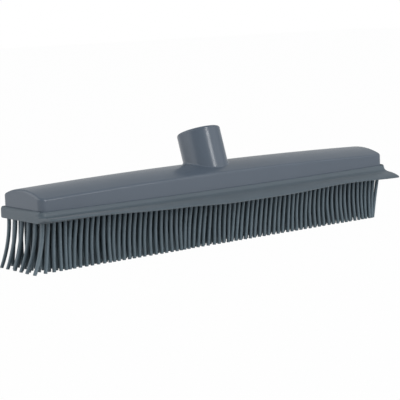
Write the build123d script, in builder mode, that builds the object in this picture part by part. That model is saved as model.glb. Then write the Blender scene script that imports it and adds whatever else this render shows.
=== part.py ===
"""Rubber broom head with a squeegee lip, in millimetres.

+X runs along the head, the squeegee lip faces -Y, the handle socket leans towards +Y and +Z is up.
The origin is on the floor, under the middle of the bristle field.
"""

import os
from math import cos, radians, sin, tan

from build123d import *

# Cover: its plan, and the heights of its arched section at the two ends
block_length = 320.0
block_depth = 50.0
corner_radius = 4.6
side_height = 7.5
arch_rise = 5.4
crown_rise = 2.8
cover_edge_radius = 1.8
cover_wall = 2.5

# Ribs and screw bosses inside the cover
rib_thickness = 1.6
rib_spacing = 40.0
rib_count = 8
boss_diameter = 8.0

# Handle socket and its broom thread
socket_diameter = 32.8
socket_tilt = 18.0
socket_length = 24.5
socket_base_y = 0.5
socket_saddle_radius = 1.2
socket_mouth_radius = 1.8
socket_depth = 36.0
socket_floor = 2.5
lead_in_diameter = 24.6
lead_in_depth = 8.0
thread_diameter = 23.4
thread_pitch = 4.5
thread_length = 22.5
thread_height = 1.2
thread_root_width = 2.8
thread_crest_width = 1.4
thread_bite = 0.3

# Base plate and the screws that hold it to the cover
plate_thickness = 3.0
plate_flange = 1.0
screw_columns = 4
screw_rows = 2
screw_column_spacing = 86.0
screw_row_spacing = 32.0
screw_diameter = 3.0
screw_head_diameter = 6.4
screw_length = 9.0
screw_recess_width = 1.0
screw_recess_depth = 1.0
pilot_spare = 1.0

# Rubber mat: web under the plate, and a rim that wraps over the plate's flange
web_thickness = 2.3
rim_overhang = 2.6
rim_rise = 2.8
rim_bead_radius = 1.6
rim_corner_radius = 5.4

# Squeegee lip
lip_reach = 15.4
lip_drop = 1.7
lip_root_diameter = 4.6
lip_middle_thickness = 2.4
lip_middle_rise = 0.9
lip_edge_thickness = 1.6
lip_edge_angle = 35.0
lip_groove_depth = 0.7

# Bristles
bristle_length = 34.4
bristle_root_diameter = 2.8
bristle_tip_diameter = 2.4
bristle_end_inset = 2.6
bristle_side_inset = 3.1
row_count = 11
bristles_in_outer_row = 71
row_bar_margin = 0.5

# Clearances
flex_gap = 0.3
pocket_gap = 0.1
cover_gap = 0.15
screw_gap = 0.1

# Heights above the floor, from the bristle tips up
web_top = bristle_length + web_thickness
plate_top = web_top + plate_thickness
rim_top = plate_top + rim_rise
shoulder_height = rim_top + side_height + crown_rise
apex_height = shoulder_height + arch_rise

# The socket's axis starts on the crown of the cover and leans back
socket_direction = Vector(0, sin(radians(socket_tilt)), cos(radians(socket_tilt)))
socket_mouth = Vector(0, socket_base_y, apex_height) + socket_direction * socket_length
socket_axis = Axis(socket_mouth, socket_direction)
socket_section = Plane(origin=socket_mouth, x_dir=(1, 0, 0), z_dir=Vector(1, 0, 0).cross(socket_direction))

# The squeegee lip's root, where it bends
lip_root_radius = lip_root_diameter / 2
rim_front = -block_depth / 2 - rim_overhang
lip_root_y = rim_front - lip_root_radius - flex_gap + lip_groove_depth
lip_root_z = bristle_length + lip_root_radius

os.makedirs("parts", exist_ok=True)


def finish(sub_part, name):
    """Label a finished sub-part and write it as its own STEP file."""
    sub_part.part.label = name
    export_step(sub_part.part, f"parts/{name}.step")


def plan(margin, radius):
    """Outline of the cover in plan, let out by margin, with its own corner radius."""
    RectangleRounded(block_length + 2 * margin, block_depth + 2 * margin, radius)


def crowned_block(inset):
    """Solid above the plate under the crowned arch, drawn in by inset at the walls and the roof."""
    half_depth = block_depth / 2 - inset
    crown_end = 0.6 * block_length
    crown_height = apex_height - inset
    crown_end_height = crown_height - crown_rise * (2 * crown_end / block_length) ** 2
    with BuildPart() as block:
        with BuildLine():
            crown_line = ThreePointArc(
                (-crown_end, 0, crown_end_height), (0, 0, crown_height), (crown_end, 0, crown_end_height)
            )
        with BuildSketch(Plane(origin=crown_line @ 0, x_dir=(0, 1, 0), z_dir=crown_line % 0)):
            with BuildLine():
                Polyline(
                    (half_depth, -arch_rise),
                    (half_depth, -apex_height),
                    (-half_depth, -apex_height),
                    (-half_depth, -arch_rise),
                )
                ThreePointArc((-half_depth, -arch_rise), (0, 0), (half_depth, -arch_rise))
            make_face()
        sweep(path=crown_line)
        with BuildSketch(Plane.XY.offset(plate_top)):
            plan(-inset, corner_radius)
        extrude(amount=apex_height, mode=Mode.INTERSECT)
    return block


# --- Top cover: hollow domed moulding with ribs, screw bosses and the threaded handle socket ---


def socket_post(depth):
    """Solid post of the socket, from its rounded mouth down to depth."""
    with BuildPart() as post:
        with BuildSketch(socket_section) as post_section:
            with Locations((socket_diameter / 4, -depth / 2)):
                Rectangle(socket_diameter / 2, depth)
            fillet(post_section.vertices().group_by(Axis.Y)[-1].sort_by(Axis.X)[-1], socket_mouth_radius)
        revolve(axis=socket_axis)
    return post


with BuildPart() as cover_hollow:
    add(crowned_block(cover_wall))
    with BuildSketch(Plane.XY.offset(plate_top)):
        with GridLocations(rib_spacing, 0, rib_count, 1):
            Rectangle(rib_thickness, block_depth)
        with GridLocations(screw_column_spacing, screw_row_spacing, screw_columns, screw_rows):
            Circle(boss_diameter / 2)
    extrude(amount=apex_height, mode=Mode.SUBTRACT)
    add(socket_post(socket_depth + socket_floor), mode=Mode.SUBTRACT)

with BuildPart() as thread_ridge:
    thread_start = socket_mouth - socket_direction * (lead_in_depth + thread_root_width / 2 + thread_length)
    with BuildLine():
        thread_line = Helix(
            thread_pitch, thread_length, thread_diameter / 2, center=thread_start, direction=socket_direction
        )
    outward = (thread_line @ 0 - thread_start).normalized()
    with BuildSketch(Plane(origin=thread_line @ 0, x_dir=outward, z_dir=thread_line % 0)):
        with BuildLine():
            Polyline(
                (thread_bite, -thread_root_width / 2),
                (thread_bite, thread_root_width / 2),
                (-thread_height, thread_crest_width / 2),
                (-thread_height, -thread_crest_width / 2),
                close=True,
            )
        make_face()
    sweep(path=thread_line, is_frenet=True)

post_sink = socket_diameter / 2 * tan(radians(socket_tilt)) + arch_rise
with BuildPart() as top_cover:
    add(crowned_block(0))
    fillet(top_cover.faces().sort_by(Axis.Z)[-1].edges(), cover_edge_radius)
    add(socket_post(socket_length + post_sink))
    post_walls = top_cover.faces().filter_by(GeomType.CYLINDER).filter_by(
        lambda face: abs(face.radius - socket_diameter / 2) < 0.01
    )
    saddle = post_walls.edges().sort_by(socket_axis)[0]
    fillet(saddle, socket_saddle_radius)
    add(cover_hollow, mode=Mode.SUBTRACT)
    with BuildSketch(socket_section):
        with Locations((thread_diameter / 4, -socket_depth / 2)):
            Rectangle(thread_diameter / 2, socket_depth)
        with Locations((lead_in_diameter / 4, -lead_in_depth / 2)):
            Rectangle(lead_in_diameter / 2, lead_in_depth)
    revolve(axis=socket_axis, mode=Mode.SUBTRACT)
    add(thread_ridge)
    with BuildSketch(Plane.XY.offset(plate_top)):
        with GridLocations(screw_column_spacing, screw_row_spacing, screw_columns, screw_rows):
            Circle(screw_diameter / 2 + screw_gap)
    extrude(amount=screw_length - plate_thickness + pilot_spare, mode=Mode.SUBTRACT)
finish(top_cover, "top_cover")

# --- Base plate: stiff sheet under the cover, whose flange sits in the rubber rim ---

plate_underside = Plane(origin=(0, 0, web_top), z_dir=(0, 0, -1))
with BuildPart() as base_plate:
    with BuildSketch(Plane.XY.offset(web_top)):
        plan(plate_flange, corner_radius + plate_flange)
    extrude(amount=plate_thickness)
    with Locations(plate_underside):
        with GridLocations(screw_column_spacing, screw_row_spacing, screw_columns, screw_rows):
            CounterSinkHole(screw_diameter / 2 + screw_gap, screw_head_diameter / 2 + screw_gap)
finish(base_plate, "base_plate")

# --- Cover screws: countersunk self-tapping screws, driven up through the plate into the bosses ---

screw_radius = screw_diameter / 2
screw_head_radius = screw_head_diameter / 2
with BuildPart() as screw:
    with BuildSketch(Plane.XZ):
        with BuildLine():
            Polyline(
                (0, web_top + screw_gap),
                (screw_head_radius, web_top + screw_gap),
                (screw_radius, web_top + screw_gap + screw_head_radius - screw_radius),
                (screw_radius, web_top + screw_length - screw_radius),
                (0, web_top + screw_length),
                close=True,
            )
        make_face()
    revolve(axis=Axis.Z)
    with BuildSketch(Plane.XY.offset(web_top + screw_gap)):
        Rectangle(screw_head_radius, screw_recess_width)
        Rectangle(screw_recess_width, screw_head_radius)
    extrude(amount=screw_recess_depth, mode=Mode.SUBTRACT)

with BuildPart() as cover_screws:
    with GridLocations(screw_column_spacing, screw_row_spacing, screw_columns, screw_rows):
        add(screw)
finish(cover_screws, "cover_screws")

# --- Rubber mat: web and rim in one piece, stretched over the plate's flange ---

with BuildPart() as rubber_mat:
    with BuildSketch(Plane.XY.offset(bristle_length)):
        plan(rim_overhang, rim_corner_radius)
    extrude(amount=rim_top - bristle_length)
    fillet(rubber_mat.edges().group_by(Axis.Z)[-1], rim_bead_radius)
    with BuildSketch(Plane.XY.offset(web_top)):
        plan(plate_flange + pocket_gap, corner_radius + plate_flange + pocket_gap)
    extrude(amount=plate_thickness + pocket_gap, mode=Mode.SUBTRACT)
    with BuildSketch(Plane.XY.offset(plate_top)):
        plan(cover_gap, corner_radius + cover_gap)
    extrude(amount=rim_top, mode=Mode.SUBTRACT)
    with BuildSketch(Plane.YZ):
        with Locations((lip_root_y, lip_root_z)):
            Circle(lip_root_radius + flex_gap)
    extrude(amount=block_length, both=True, mode=Mode.SUBTRACT)
finish(rubber_mat, "rubber_mat")

# --- Squeegee lip: drooping blade along the front of the mat, bending about its round root ---

lip_edge_radius = lip_edge_thickness / 2
edge_y = rim_front - lip_reach + lip_edge_radius
edge_z = lip_root_z - lip_drop
edge_run = Vector(-cos(radians(lip_edge_angle)), -sin(radians(lip_edge_angle))) * lip_edge_radius
edge_rise = Vector(edge_run.Y, -edge_run.X)
edge_centre = Vector(edge_y, edge_z)
middle_y = (lip_root_y + edge_y) / 2
middle_top = lip_root_z + lip_middle_rise
with BuildPart() as squeegee_lip:
    with BuildSketch(Plane.YZ):
        with BuildLine():
            ThreePointArc(
                (lip_root_y, lip_root_z - lip_root_radius),
                (lip_root_y + lip_root_radius, lip_root_z),
                (lip_root_y, lip_root_z + lip_root_radius),
            )
            ThreePointArc(
                (lip_root_y, lip_root_z + lip_root_radius), (middle_y, middle_top), edge_centre + edge_rise
            )
            ThreePointArc(edge_centre + edge_rise, edge_centre + edge_run, edge_centre - edge_rise)
            ThreePointArc(
                edge_centre - edge_rise,
                (middle_y, middle_top - lip_middle_thickness),
                (lip_root_y, lip_root_z - lip_root_radius),
            )
        make_face()
    extrude(amount=block_length / 2 + rim_overhang, both=True)
finish(squeegee_lip, "squeegee_lip")

# --- Bristle rows: rods hanging from a round root bar, every second row shifted by half a pitch ---

bristle_pitch = (block_length - 2 * bristle_end_inset) / (bristles_in_outer_row - 1)
row_pitch = (block_depth - 2 * bristle_side_inset) / (row_count - 1)
row_bar_radius = bristle_root_diameter / 2 + row_bar_margin / 2
row_bar_height = bristle_length - flex_gap - row_bar_radius
for row in range(row_count):
    row_y = (row - (row_count - 1) / 2) * row_pitch
    bristles = bristles_in_outer_row - row % 2
    row_span = (bristles - 1) * bristle_pitch
    with BuildPart() as bristle_row:
        with BuildSketch(Plane.YZ):
            with Locations((row_y, row_bar_height)):
                Circle(row_bar_radius)
        extrude(amount=row_span / 2 + row_bar_radius, both=True)
        with Locations((0, row_y, 0)):
            with GridLocations(bristle_pitch, 0, bristles, 1):
                Cone(
                    bristle_tip_diameter / 2,
                    bristle_root_diameter / 2,
                    row_bar_height,
                    align=(Align.CENTER, Align.CENTER, Align.MIN),
                )
    finish(bristle_row, f"bristle_row_{row + 1:02d}")
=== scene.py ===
from math import cos, pi, radians, sin, sqrt

import bmesh
import bpy
from mathutils import Matrix, Vector


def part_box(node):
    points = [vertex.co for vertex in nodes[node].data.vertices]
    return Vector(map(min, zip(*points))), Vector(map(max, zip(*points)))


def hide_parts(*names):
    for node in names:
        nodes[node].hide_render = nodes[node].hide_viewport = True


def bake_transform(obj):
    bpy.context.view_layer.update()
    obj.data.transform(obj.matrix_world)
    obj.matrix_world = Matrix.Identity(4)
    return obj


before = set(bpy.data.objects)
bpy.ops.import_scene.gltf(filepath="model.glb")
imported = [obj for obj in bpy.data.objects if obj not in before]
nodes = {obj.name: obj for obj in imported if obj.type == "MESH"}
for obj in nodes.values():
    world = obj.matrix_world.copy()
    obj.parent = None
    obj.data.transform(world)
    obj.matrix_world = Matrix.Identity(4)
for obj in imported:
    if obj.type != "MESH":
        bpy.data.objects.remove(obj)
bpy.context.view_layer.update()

# --- Top cover ---------------------------------------------------------------------------------
# A hollow polypropylene moulding with the handle socket and its broom thread in one shot.
# The mould is polished: the skin is glossy, with a faint orange peel and fine handling marks.


def plastic(name, colour, roughness, peel_size, peel_depth, coat=0.0):
    """Moulded plastic: slight colour drift, uneven gloss and an orange-peel skin."""
    material = bpy.data.materials.new(name)
    material.use_nodes = True
    tree = material.node_tree
    skin = tree.nodes["Principled BSDF"]
    skin.inputs["Coat Weight"].default_value = coat
    skin.inputs["Coat Roughness"].default_value = 0.08
    skin.inputs["IOR"].default_value = 1.49
    place = tree.nodes.new("ShaderNodeTexCoord")

    drift = tree.nodes.new("ShaderNodeTexNoise")
    drift.inputs["Scale"].default_value = 28.0
    drift.inputs["Detail"].default_value = 3.0
    tint = tree.nodes.new("ShaderNodeMix")
    tint.data_type = "RGBA"
    tint.inputs["A"].default_value = (*[c * 0.94 for c in colour], 1)
    tint.inputs["B"].default_value = (*[c * 1.06 for c in colour], 1)
    tree.links.new(place.outputs["Object"], drift.inputs["Vector"])
    tree.links.new(drift.outputs["Fac"], tint.inputs["Factor"])
    tree.links.new(tint.outputs["Result"], skin.inputs["Base Color"])

    rub = tree.nodes.new("ShaderNodeTexNoise")
    rub.inputs["Scale"].default_value = 90.0
    rub.inputs["Detail"].default_value = 5.0
    gloss = tree.nodes.new("ShaderNodeMapRange")
    gloss.inputs["To Min"].default_value = roughness * 0.82
    gloss.inputs["To Max"].default_value = roughness * 1.18
    tree.links.new(place.outputs["Object"], rub.inputs["Vector"])
    tree.links.new(rub.outputs["Fac"], gloss.inputs["Value"])
    tree.links.new(gloss.outputs["Result"], skin.inputs["Roughness"])

    peel = tree.nodes.new("ShaderNodeTexNoise")
    peel.inputs["Scale"].default_value = 1 / peel_size
    peel.inputs["Detail"].default_value = 2.0
    bump = tree.nodes.new("ShaderNodeBump")
    bump.inputs["Strength"].default_value = 0.35
    bump.inputs["Distance"].default_value = peel_depth
    tree.links.new(place.outputs["Object"], peel.inputs["Vector"])
    tree.links.new(peel.outputs["Fac"], bump.inputs["Height"])
    tree.links.new(bump.outputs["Normal"], skin.inputs["Normal"])
    return material


def refinish(node, material):
    """Give a carried-over part its finish."""
    node.data.materials.clear()
    node.data.materials.append(material)


cover_slate = (0.102, 0.128, 0.164)
cover_plastic = plastic("cover_plastic", cover_slate, 0.25, 0.0025, 0.000015)
refinish(nodes["top_cover"], cover_plastic)

# --- Base plate and cover screws ------------------------------------------------------------------
# A flat sheet of stiffer, matt plastic closes the cover from below and carries the rubber mat.
# Eight zinc-plated countersunk screws go up through it into the bosses of the cover.

plate_slate = (0.075, 0.085, 0.100)
refinish(nodes["base_plate"], plastic("plate_plastic", plate_slate, 0.5, 0.0008, 0.00004))


def plated_steel(name):
    """Zinc plate on steel: metallic, with streaks left by the driver."""
    material = bpy.data.materials.new(name)
    material.use_nodes = True
    tree = material.node_tree
    skin = tree.nodes["Principled BSDF"]
    skin.inputs["Metallic"].default_value = 1.0
    skin.inputs["Base Color"].default_value = (0.58, 0.59, 0.62, 1)
    place = tree.nodes.new("ShaderNodeTexCoord")
    streaks = tree.nodes.new("ShaderNodeTexNoise")
    streaks.inputs["Scale"].default_value = 900.0
    streaks.inputs["Detail"].default_value = 3.0
    dull = tree.nodes.new("ShaderNodeMapRange")
    dull.inputs["To Min"].default_value = 0.25
    dull.inputs["To Max"].default_value = 0.5
    tree.links.new(place.outputs["Object"], streaks.inputs["Vector"])
    tree.links.new(streaks.outputs["Fac"], dull.inputs["Value"])
    tree.links.new(dull.outputs["Result"], skin.inputs["Roughness"])
    return material


refinish(nodes["cover_screws"], plated_steel("screw_steel"))

# --- Rubber mat and squeegee lip -------------------------------------------------------------------
# One soft rubber moulding: the mat under the plate, the rim that grips it, and the drooping lip.
# The lip runs out of the rim's bead in one hollow curve and waves a little, as thin rubber does.

mat_low, mat_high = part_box("rubber_mat")
half_length = mat_high.x
rim_front = mat_low.y
underside = mat_low.z
rim_top = mat_high.z
cover_gap = 0.00015
plate_gap = 0.0001
cover_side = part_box("top_cover")[1].y + cover_gap
cover_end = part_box("top_cover")[1].x + cover_gap
plate_low, plate_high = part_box("base_plate")


def rounded(distance, radius):
    """How far a corner of that radius has drawn in at a distance short of its end."""
    into = max(0.0, radius - distance)
    return radius - sqrt(max(0.0, radius * radius - into * into))


def ease(value, low, high):
    """Smooth step from 0 at low to 1 at high."""
    t = min(1.0, max(0.0, (value - low) / (high - low)))
    return t * t * (3 - 2 * t)


def lip_wave(x):
    """Rise of the lip's free edge along its length."""
    lifted = 0.0030 * (1 - ease(x, -0.135, -0.055)) + 0.0004 * (1 - ease(x, -0.150, -0.120))
    hung = 0.0020 * ease(x, -0.060, -0.005) * (1 - ease(x, 0.035, 0.105))
    drooped = 0.0014 * ease(x, 0.105, 0.163)
    return lifted - hung - drooped


rim_depth = rim_top - underside
bead_radius = 0.0032
inner_bead = 0.0010
rim_corner = 0.0054
lip_corner = 0.0040
seam_sag = 0.0011
groove_depth = 0.0020

# Section of the skin from the seam with the cover, over the bead, down the rim, out along the lip
# and back under it: reach from the rim's front, height from the rim's top, share of the lip's wave.
lip_section = [
    (0.0022, -0.0013, 0.0),
    (0.0018, -0.0007, 0.0),
    (0.0014, -0.0006, 0.0),
    (0.0009, -0.0013, 0.0),
    (0.0005, -0.0022, 0.0),
    (0.0002, -0.0032, 0.0),
    (-0.0003, -0.0040, 0.02),
    (-0.0012, -0.0046, 0.07),
    (-0.0027, -0.0051, 0.16),
    (-0.0050, -0.0054, 0.30),
    (-0.0075, -0.0055, 0.47),
    (-0.0100, -0.0058, 0.66),
    (-0.0122, -0.0063, 0.84),
    (-0.0139, -0.0068, 0.97),
    (-0.0149, -0.0073, 1.0),
    (-0.0154, -0.0079, 1.0),
    (-0.0150, -0.0084, 1.0),
    (-0.0141, -0.0084, 0.97),
    (-0.0122, -0.0080, 0.84),
    (-0.0100, -0.0076, 0.66),
    (-0.0075, -0.0074, 0.47),
    (-0.0050, -0.0075, 0.30),
    (-0.0026, -0.0078, 0.15),
    (-0.0008, -rim_depth, 0.0),
    (0.0012, -rim_depth, 0.0),
]
back_section = [
    (0.0012, -rim_depth),
    (0.0002, -rim_depth + 0.0002),
    (0.0, -rim_depth + 0.0009),
    (0.0, -0.0050),
    (0.0001, -0.0029),
    (0.0003, -0.0020),
    (0.0008, -0.0010),
    (0.0013, -0.0005),
    (0.0018, -0.0007),
    (0.0022, -0.0013),
]


def bead_height(reach, height, hollow):
    """Height on the bead; past the cover's ends the groove beside it is filled."""
    in_groove = reach > 0.0010 and height > -0.0020
    return max(height, -0.0005) if in_groove and not hollow else height


def skin_section(x, hollow):
    """The closed section across the moulding at x; hollow where the cover and plate sit in it."""
    short = half_length - abs(x)
    sag = seam_sag * (1 - (x / half_length) ** 2)
    drop = 0.0
    if not hollow:
        drop = max(rounded(short, bead_radius), rounded(half_length - cover_end - short, inner_bead))
    rim_drawn = rounded(short, rim_corner)
    lip_drawn = rounded(short, lip_corner)
    points = []
    for reach, height, share in lip_section:
        height = bead_height(reach, height, hollow)
        sagged = rim_top - sag * ease(height, -0.0050, -0.0008)
        z = min(sagged + height, sagged - drop) if share == 0.0 and height > -0.0040 else sagged + height
        drawn = rim_drawn + (lip_drawn - rim_drawn) * share
        points.append((x, rim_front + reach + drawn, z + share * lip_wave(x)))
    for reach, height in back_section:
        height = bead_height(reach, height, hollow)
        sagged = rim_top - sag * ease(height, -0.0050, -0.0008)
        z = min(sagged + height, sagged - drop) if height > -0.0040 else sagged + height
        points.append((x, -rim_front - reach - rim_drawn, z))
    groove = rim_top - sag - groove_depth
    if hollow:
        inside = [
            (cover_side, groove),
            (cover_side, plate_high.z + plate_gap),
            (plate_high.y + plate_gap, plate_high.z + plate_gap),
            (plate_high.y + plate_gap, plate_low.z),
            (-plate_high.y - plate_gap, plate_low.z),
            (-plate_high.y - plate_gap, plate_high.z + plate_gap),
            (-cover_side, plate_high.z + plate_gap),
            (-cover_side, groove),
        ]
    else:
        back = -rim_front - 0.0035 - rim_drawn
        inside = [(back * (1 - 2 * i / 7), rim_top - sag - drop) for i in range(8)]
    points += [(x, y, z) for y, z in inside]
    return points


def skin_stations():
    """Places of the sections along the moulding, close together at the rounded ends."""
    corner = [0.0, 0.00004, 0.0002, 0.00045, 0.0008, 0.0012, 0.0016, 0.0019, 0.0022, 0.00235]
    left = [(-half_length + d, False) for d in corner]
    left += [(-cover_end, False), (-cover_end, True)]
    left += [(-half_length + d, True) for d in (0.0030, 0.0038, 0.0047, 0.0056, 0.0070)]
    steps = 96  # sections between the two ends
    span = half_length - 0.0085
    middle = [(-span + 2 * span * i / steps, True) for i in range(steps + 1)]
    return left + middle + [(-x, hollow) for x, hollow in reversed(left)]


def rubber_skin():
    """The mat, rim and lip as one closed skin."""
    shape = bmesh.new()
    sections = [[shape.verts.new(p) for p in skin_section(*s)] for s in skin_stations()]
    for one, other in zip(sections, sections[1:]):
        count = len(one)
        for i in range(count):
            j = (i + 1) % count
            shape.faces.new((one[i], one[j], other[j], other[i]))
    shape.faces.new(sections[0])
    shape.faces.new(reversed(sections[-1]))
    bmesh.ops.remove_doubles(shape, verts=shape.verts, dist=1e-7)
    bmesh.ops.recalc_face_normals(shape, faces=shape.faces)
    mesh = bpy.data.meshes.new("rubber_mat_and_lip")
    shape.to_mesh(mesh)
    shape.free()
    for face in mesh.polygons:
        face.use_smooth = True
    mesh.set_sharp_from_angle(angle=radians(42))
    return mesh


def rubber(name, colour, roughness, dusty):
    """Moulded rubber: dull, faintly cloudy skin with a soft bloom on it."""
    material = bpy.data.materials.new(name)
    material.use_nodes = True
    tree = material.node_tree
    skin = tree.nodes["Principled BSDF"]
    skin.inputs["IOR"].default_value = 1.5
    skin.inputs["Sheen Weight"].default_value = 0.12
    skin.inputs["Sheen Roughness"].default_value = 0.5
    place = tree.nodes.new("ShaderNodeTexCoord")

    cloud = tree.nodes.new("ShaderNodeTexNoise")
    cloud.inputs["Scale"].default_value = 60.0
    cloud.inputs["Detail"].default_value = 4.0
    bloom = tree.nodes.new("ShaderNodeMix")
    bloom.data_type = "RGBA"
    bloom.inputs["A"].default_value = (*[c * (1 - dusty) for c in colour], 1)
    bloom.inputs["B"].default_value = (*[c * (1 + dusty) for c in colour], 1)
    tree.links.new(place.outputs["Object"], cloud.inputs["Vector"])
    tree.links.new(cloud.outputs["Fac"], bloom.inputs["Factor"])
    tree.links.new(bloom.outputs["Result"], skin.inputs["Base Color"])

    dull = tree.nodes.new("ShaderNodeMapRange")
    dull.inputs["To Min"].default_value = roughness - 0.07
    dull.inputs["To Max"].default_value = roughness + 0.07
    tree.links.new(cloud.outputs["Fac"], dull.inputs["Value"])
    tree.links.new(dull.outputs["Result"], skin.inputs["Roughness"])

    grain = tree.nodes.new("ShaderNodeTexNoise")
    grain.inputs["Scale"].default_value = 1400.0
    grain.inputs["Detail"].default_value = 2.0
    bump = tree.nodes.new("ShaderNodeBump")
    bump.inputs["Strength"].default_value = 0.3
    bump.inputs["Distance"].default_value = 0.00006
    tree.links.new(place.outputs["Object"], grain.inputs["Vector"])
    tree.links.new(grain.outputs["Fac"], bump.inputs["Height"])
    tree.links.new(bump.outputs["Normal"], skin.inputs["Normal"])
    return material


rubber_slate = (0.082, 0.110, 0.133)
skin_mesh = rubber_skin()
skin_mesh.materials.append(rubber("rubber", rubber_slate, 0.48, 0.10))
rubber_mat_and_lip = bpy.data.objects.new("rubber_mat_and_lip", skin_mesh)
bpy.context.collection.objects.link(rubber_mat_and_lip)
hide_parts("rubber_mat", "squeegee_lip")
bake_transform(rubber_mat_and_lip)

# --- Bristles -----------------------------------------------------------------------------------------
# Eleven rows of soft rubber rods grow out of the mat, every second row shifted by half a pitch.
# They taper to blunt tips and have taken a set in use: combed to one side, bowed, splayed at the end.

bristle_sections = 9
bristle_sides = 9
full_row = 71
root_radius = 0.0014
tip_radius = 0.0013
planted = 0.0006
second_row_drift = 0.0025


def bristle_tree():
    """Node tree for one row: curved rods in a line, each with a bend of its own."""
    tree = bpy.data.node_groups.new("bristle_row", "GeometryNodeTree")
    face = tree.interface
    face.new_socket("Geometry", in_out="INPUT", socket_type="NodeSocketGeometry")
    for name, kind in (
        ("Row Centre", "NodeSocketVector"),
        ("Bristles", "NodeSocketInt"),
        ("Pitch", "NodeSocketFloat"),
        ("Length", "NodeSocketFloat"),
        ("Root Radius", "NodeSocketFloat"),
        ("Tip Radius", "NodeSocketFloat"),
        ("Comb", "NodeSocketFloat"),
        ("Belly", "NodeSocketFloat"),
        ("Fan", "NodeSocketFloat"),
        ("Drift", "NodeSocketFloat"),
        ("Tangle", "NodeSocketFloat"),
        ("Seed", "NodeSocketInt"),
        ("Rubber", "NodeSocketMaterial"),
    ):
        face.new_socket(name, in_out="INPUT", socket_type=kind)
    face.new_socket("Geometry", in_out="OUTPUT", socket_type="NodeSocketGeometry")
    given = tree.nodes.new("NodeGroupInput")
    result = tree.nodes.new("NodeGroupOutput")

    def node(kind, **settings):
        made = tree.nodes.new(kind)
        for key, value in settings.items():
            setattr(made, key, value)
        return made

    def feed(socket, value):
        if isinstance(value, bpy.types.NodeSocket):
            tree.links.new(value, socket)
        else:
            socket.default_value = value

    def maths(operation, *values):
        made = node("ShaderNodeMath", operation=operation)
        for socket, value in zip(made.inputs, values):
            feed(socket, value)
        return made.outputs[0]

    def vector(x, y, z):
        made = node("ShaderNodeCombineXYZ")
        for socket, value in zip(made.inputs, (x, y, z)):
            feed(socket, value)
        return made.outputs[0]

    def add(a, b):
        made = node("ShaderNodeVectorMath", operation="ADD")
        feed(made.inputs[0], a)
        feed(made.inputs[1], b)
        return made.outputs[0]

    def curve(value, stations):
        made = node("ShaderNodeFloatCurve")
        line = made.mapping.curves[0]
        line.points[0].location = stations[0]
        line.points[1].location = stations[-1]
        for station in stations[1:-1]:
            line.points.new(*station)
        made.mapping.update()
        feed(made.inputs["Value"], value)
        return made.outputs[0]

    def store(geometry, name, value):
        made = node("GeometryNodeStoreNamedAttribute", data_type="FLOAT", domain="POINT")
        feed(made.inputs["Geometry"], geometry)
        made.inputs["Name"].default_value = name
        feed(made.inputs["Value"], value)
        return made.outputs["Geometry"]

    def stored(name):
        made = node("GeometryNodeInputNamedAttribute", data_type="FLOAT")
        made.inputs["Name"].default_value = name
        return made.outputs["Attribute"]

    def chance(low, high, seed):
        made = node("FunctionNodeRandomValue", data_type="FLOAT")
        feed(made.inputs[2], low)
        feed(made.inputs[3], high)
        feed(made.inputs["ID"], node("GeometryNodeInputIndex").outputs[0])
        feed(made.inputs["Seed"], maths("ADD", given.outputs["Seed"], seed))
        return made.outputs[1]

    # Roots in a line
    count = given.outputs["Bristles"]
    half_row = maths("MULTIPLY", maths("SUBTRACT", count, 1), maths("MULTIPLY", given.outputs["Pitch"], 0.5))
    roots = node("GeometryNodeMeshLine", mode="OFFSET")
    feed(roots.inputs["Count"], count)
    feed(
        roots.inputs["Start Location"],
        add(given.outputs["Row Centre"], vector(maths("MULTIPLY", half_row, -1), 0.0, 0.0)),
    )
    feed(roots.inputs["Offset"], vector(given.outputs["Pitch"], 0.0, 0.0))

    # Each rod's own lean and belly
    spot = node("GeometryNodeInputPosition").outputs[0]
    split = node("ShaderNodeSeparateXYZ")
    feed(split.inputs[0], spot)
    along = maths("ADD", maths("DIVIDE", split.outputs["X"], 2 * half_length), 0.5)
    comb = maths("MULTIPLY", curve(along, comb_stations), given.outputs["Comb"])
    belly = maths("MULTIPLY", curve(along, belly_stations), given.outputs["Belly"])
    splay = curve(along, fan_stations)
    fan = maths("MULTIPLY", splay, given.outputs["Fan"])
    drift = maths("MULTIPLY", maths("SUBTRACT", 1.0, splay), given.outputs["Drift"])
    noise = node("ShaderNodeTexNoise")
    noise.inputs["Scale"].default_value = 70.0
    noise.inputs["Detail"].default_value = 2.0
    feed(noise.inputs["Vector"], spot)
    stray = node("FunctionNodeSeparateColor")
    feed(stray.inputs[0], noise.outputs["Color"])
    sway = maths("MULTIPLY", maths("SUBTRACT", stray.outputs[0], 0.5), given.outputs["Tangle"])
    nod = maths("MULTIPLY", maths("SUBTRACT", stray.outputs[1], 0.5), given.outputs["Tangle"])
    sideways = maths("ADD", maths("ADD", comb, drift), sway)
    line = store(roots.outputs[0], "lean_x", maths("ADD", sideways, chance(-0.0004, 0.0004, 1)))
    line = store(line, "lean_y", maths("ADD", maths("ADD", fan, nod), chance(-0.0003, 0.0003, 2)))
    line = store(line, "belly", maths("ADD", belly, chance(-0.0004, 0.0004, 3)))

    # One rod, root to tip
    rod = node("GeometryNodeCurvePrimitiveLine")
    feed(rod.inputs["End"], vector(0.0, 0.0, maths("MULTIPLY", given.outputs["Length"], -1)))
    cut = node("GeometryNodeResampleCurve", mode="COUNT")
    feed(cut.inputs["Curve"], rod.outputs[0])
    cut.inputs["Count"].default_value = bristle_sections
    rod = store(cut.outputs[0], "bristle_depth", node("GeometryNodeSplineParameter").outputs["Factor"])

    rods_in_place = node("GeometryNodeInstanceOnPoints")
    feed(rods_in_place.inputs["Points"], line)
    feed(rods_in_place.inputs["Instance"], rod)
    loose = node("GeometryNodeRealizeInstances")
    feed(loose.inputs[0], rods_in_place.outputs[0])

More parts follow.
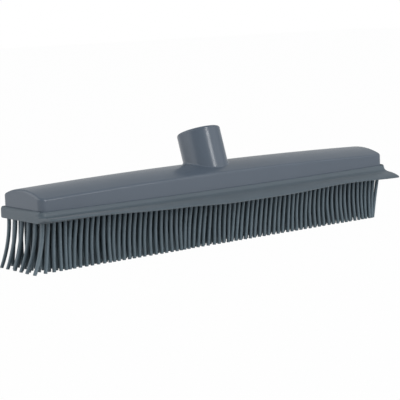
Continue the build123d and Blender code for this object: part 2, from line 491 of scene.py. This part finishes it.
    # Bend: the lean grows down the rod, faster where it is strong, the belly is at its middle, and
    # a leaning tip rises
    depth = stored("bristle_depth")
    swell = maths("SINE", maths("MULTIPLY", depth, pi))
    lean_x = stored("lean_x")
    lean_y = stored("lean_y")
    lean = maths("ADD", maths("MULTIPLY", lean_x, lean_x), maths("MULTIPLY", lean_y, lean_y))
    grow = maths("POWER", depth, maths("ADD", 1.0, maths("MULTIPLY", maths("SQRT", lean), 100.0)))
    move_x = maths("ADD", maths("MULTIPLY", lean_x, grow), maths("MULTIPLY", stored("belly"), swell))
    move_y = maths("MULTIPLY", lean_y, grow)
    lift = maths(
        "MULTIPLY",
        maths("DIVIDE", maths("MULTIPLY", lean, 0.1), given.outputs["Length"]),
        maths("POWER", depth, 3),
    )
    bent = node("GeometryNodeSetPosition")
    feed(bent.inputs["Geometry"], loose.outputs[0])
    feed(bent.inputs["Offset"], vector(move_x, move_y, lift))

    # Thickness: a straight taper, with flat caps at both ends
    taper = node("ShaderNodeMapRange")
    feed(taper.inputs["Value"], depth)
    feed(taper.inputs["To Min"], given.outputs["Root Radius"])
    feed(taper.inputs["To Max"], given.outputs["Tip Radius"])
    ring = node("GeometryNodeCurvePrimitiveCircle", mode="RADIUS")
    ring.inputs["Resolution"].default_value = bristle_sides
    ring.inputs["Radius"].default_value = 1.0
    flesh = node("GeometryNodeCurveToMesh")
    feed(flesh.inputs["Curve"], bent.outputs[0])
    feed(flesh.inputs["Profile Curve"], ring.outputs[0])
    feed(flesh.inputs["Scale"], taper.outputs["Result"])
    flesh.inputs["Fill Caps"].default_value = True

    # The blunt tips stand flat on the floor
    height = node("ShaderNodeSeparateXYZ")
    feed(height.inputs[0], node("GeometryNodeInputPosition").outputs[0])
    pressed = node("GeometryNodeSetPosition")
    feed(pressed.inputs["Geometry"], flesh.outputs[0])
    below = maths("MULTIPLY", maths("MINIMUM", height.outputs["Z"], 0.0), -1)
    feed(pressed.inputs["Offset"], vector(0.0, 0.0, below))
    smooth = node("GeometryNodeSetShadeSmooth")
    feed(smooth.inputs["Geometry"], pressed.outputs[0])

    whole = node("GeometryNodeRealizeInstances")
    feed(whole.inputs[0], smooth.outputs[0])
    dressed = node("GeometryNodeSetMaterial")
    feed(dressed.inputs["Geometry"], whole.outputs[0])
    feed(dressed.inputs["Material"], given.outputs["Rubber"])
    feed(result.inputs[0], dressed.outputs[0])
    return tree


# Set that the rods have taken, along the head from its left end: how far the tips are combed over,
# how far the rods' middles belly out, and how far the end rods fan
comb_stations = [
    (0.0, 1.0),
    (0.02, 0.95),
    (0.031, 0.42),
    (0.045, 0.22),
    (0.07, 0.12),
    (0.10, 0.30),
    (0.18, 0.15),
    (0.24, 0.29),
    (0.35, 0.15),
    (0.44, 0.47),
    (0.485, 0.31),
    (0.55, 0.51),
    (0.70, 0.35),
    (0.80, 0.12),
    (0.85, 0.0),
    (0.92, 0.01),
    (0.965, 0.27),
    (0.98, 0.58),
    (1.0, 0.72),
]
belly_stations = [
    (0.0, 0.0),
    (0.05, 0.15),
    (0.12, 0.45),
    (0.70, 0.45),
    (0.83, 0.80),
    (0.90, 0.60),
    (0.97, 0.65),
    (1.0, 1.15),
]
fan_stations = [(0.0, 1.0), (0.02, 0.9), (0.04, 0.3), (0.08, 0.0), (1.0, 0.0)]

bristles = bristle_tree()
# The rods are the mat's rubber, coloured about 1.4 times lighter: painted light that makes up for the shade
# among the close-set rods.
bristle_rubber_painted_lighter = rubber("bristle_rubber_painted_lighter", (0.114, 0.156, 0.184), 0.5, 0.12)
sockets = {s.name: s.identifier for s in bristles.interface.items_tree if s.in_out == "INPUT"}
row_names = sorted(n for n in nodes if n.startswith("bristle_row_"))
for row, name in enumerate(row_names):
    row_low, row_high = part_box(name)
    row_y = (row_low.y + row_high.y) / 2
    rods = full_row - row % 2
    row_ends = row_high.y - row_low.y
    mesh = bpy.data.meshes.new(name + "_bed")
    bed = bpy.data.objects.new(name + "_bed", mesh)
    bpy.context.collection.objects.link(bed)
    grower = bed.modifiers.new("bristles", "NODES")
    grower.node_group = bristles
    settings = {
        "Row Centre": (0.0, row_y, underside + planted),
        "Bristles": rods,
        "Pitch": (row_high.x - row_low.x - row_ends) / (rods - 1),
        "Length": underside + planted,
        "Root Radius": root_radius,
        "Tip Radius": tip_radius,
        "Comb": -0.0105,
        "Belly": -0.0024,
        "Fan": -0.0030,
        "Drift": second_row_drift if row % 2 else 0.0,
        "Tangle": 0.0015,
        "Seed": 31 + 7 * row,
        "Rubber": bristle_rubber_painted_lighter,
    }
    for key, value in settings.items():
        grower[sockets[key]] = value
    bpy.context.view_layer.update()
    evaluated = bed.evaluated_get(bpy.context.evaluated_depsgraph_get())
    grown = bpy.data.meshes.new_from_object(evaluated)
    grown.name = "rods_" + name[-2:]
    bpy.data.objects.remove(bed)
    piece = bpy.data.objects.new("rods_" + name[-2:], grown)
    bpy.context.collection.objects.link(piece)
    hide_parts(name)
    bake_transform(piece)

# --- Floor, light and camera -------------------------------------------------------------------------
# A plain white sweep under four soft boxes: a broad one on the left, smaller ones low in front and
# on the right, and a narrow strip in front, whose reflection draws the bright line down the socket.

world = bpy.data.worlds.new("white_room")
bpy.context.scene.world = world
world.use_nodes = True
room = world.node_tree
room.nodes.clear()
rays = room.nodes.new("ShaderNodeLightPath")
seen = room.nodes.new("ShaderNodeMath")
seen.operation = "MAXIMUM"
shown = room.nodes.new("ShaderNodeMath")
shown.operation = "MAXIMUM"
gleam = room.nodes.new("ShaderNodeMath")
gleam.operation = "MULTIPLY"
gleam.inputs[1].default_value = 0.4
fill = room.nodes.new("ShaderNodeBackground")
fill.inputs["Color"].default_value = (0.86, 0.94, 1.0, 1)
fill.inputs["Strength"].default_value = 0.30
white = room.nodes.new("ShaderNodeBackground")
white.inputs["Color"].default_value = (1, 1, 1, 1)
white.inputs["Strength"].default_value = 1.0
choose = room.nodes.new("ShaderNodeMixShader")
sky = room.nodes.new("ShaderNodeOutputWorld")
room.links.new(rays.outputs["Is Camera Ray"], seen.inputs[0])
room.links.new(rays.outputs["Is Transmission Ray"], seen.inputs[1])
room.links.new(seen.outputs[0], shown.inputs[0])
room.links.new(rays.outputs["Is Glossy Ray"], gleam.inputs[0])
room.links.new(gleam.outputs[0], shown.inputs[1])
room.links.new(shown.outputs[0], choose.inputs[0])
room.links.new(fill.outputs[0], choose.inputs[1])
room.links.new(white.outputs[0], choose.inputs[2])
room.links.new(choose.outputs[0], sky.inputs[0])

floor_mesh = bpy.data.meshes.new("floor")
reach = 6.0
floor_mesh.from_pydata(
    [(-reach, -reach, 0), (reach, -reach, 0), (reach, reach, 0), (-reach, reach, 0)], [], [(0, 1, 2, 3)]
)
floor = bpy.data.objects.new("floor", floor_mesh)
bpy.context.collection.objects.link(floor)
paper = bpy.data.materials.new("white_paper")
paper.use_nodes = True
sheet = paper.node_tree
paper_skin = sheet.nodes["Principled BSDF"]
paper_skin.inputs["Base Color"].default_value = (0.60, 0.60, 0.60, 1)
paper_skin.inputs["Roughness"].default_value = 0.9
paper_rays = sheet.nodes.new("ShaderNodeLightPath")
paper_seen = sheet.nodes.new("ShaderNodeMath")
paper_seen.operation = "MAXIMUM"
paper_shown = sheet.nodes.new("ShaderNodeMath")
paper_shown.operation = "MAXIMUM"
paper_share = sheet.nodes.new("ShaderNodeMath")
paper_share.operation = "MULTIPLY"
paper_share.inputs[1].default_value = 0.985
paper_glow = sheet.nodes.new("ShaderNodeEmission")
paper_glow.inputs["Color"].default_value = (1, 1, 1, 1)
paper_glow.inputs["Strength"].default_value = 1.0
paper_mix = sheet.nodes.new("ShaderNodeMixShader")
sheet.links.new(paper_rays.outputs["Is Camera Ray"], paper_seen.inputs[0])
sheet.links.new(paper_rays.outputs["Is Transmission Ray"], paper_seen.inputs[1])
sheet.links.new(paper_seen.outputs[0], paper_shown.inputs[0])
sheet.links.new(paper_rays.outputs["Is Glossy Ray"], paper_shown.inputs[1])
sheet.links.new(paper_shown.outputs[0], paper_share.inputs[0])
sheet.links.new(paper_share.outputs[0], paper_mix.inputs[0])
sheet.links.new(paper_skin.outputs[0], paper_mix.inputs[1])
sheet.links.new(paper_glow.outputs[0], paper_mix.inputs[2])
sheet.links.new(paper_mix.outputs[0], sheet.nodes["Material Output"].inputs["Surface"])
floor_mesh.materials.append(paper)


def soft_box(name, azimuth, elevation, distance, width, height, power):
    """A rectangular soft light aimed at the head."""
    lamp = bpy.data.lights.new(name, "AREA")
    lamp.shape = "RECTANGLE"
    lamp.size = width
    lamp.size_y = height
    lamp.energy = power
    box = bpy.data.objects.new(name, lamp)
    bpy.context.collection.objects.link(box)
    away = Vector(
        (
            sin(radians(azimuth)) * cos(radians(elevation)),
            -cos(radians(azimuth)) * cos(radians(elevation)),
            sin(radians(elevation)),
        )
    )
    box.location = away * distance + Vector((0, 0, 0.05))
    box.rotation_euler = away.to_track_quat("Z", "Y").to_euler()
    return box


soft_box("left_box", -116, 25, 2.2, 2.8, 2.4, 27)
soft_box("strip_box", 9, 28, 2.2, 0.34, 1.4, 17)
soft_box("low_box", 20, 8, 2.2, 1.2, 0.8, 9)
soft_box("right_box", 50, 30, 2.2, 1.4, 1.4, 4)

camera_azimuth, camera_elevation, camera_roll = radians(-37.694), radians(7.716), radians(-2.349)
camera_distance = 1.0490
aim = Vector((-0.006923, 0.0, 0.030558))
back = Vector(
    (
        sin(camera_azimuth) * cos(camera_elevation),
        -cos(camera_azimuth) * cos(camera_elevation),
        sin(camera_elevation),
    )
)
level = Vector((cos(camera_azimuth), sin(camera_azimuth), 0))
upright = back.cross(level)
right = level * cos(camera_roll) + upright * sin(camera_roll)
up = upright * cos(camera_roll) - level * sin(camera_roll)
lens = bpy.data.cameras.new("camera")
lens.lens = 126.79
lens.sensor_width = 36.0
lens.clip_end = 50.0
camera = bpy.data.objects.new("camera", lens)
bpy.context.collection.objects.link(camera)
camera.matrix_world = Matrix.Translation(aim + back * camera_distance) @ Matrix(
    ((right.x, up.x, back.x, 0), (right.y, up.y, back.y, 0), (right.z, up.z, back.z, 0), (0, 0, 0, 1))
)
bpy.context.scene.camera = camera
bpy.context.scene.view_settings.view_transform = "Standard"

bpy.context.view_layer.update()
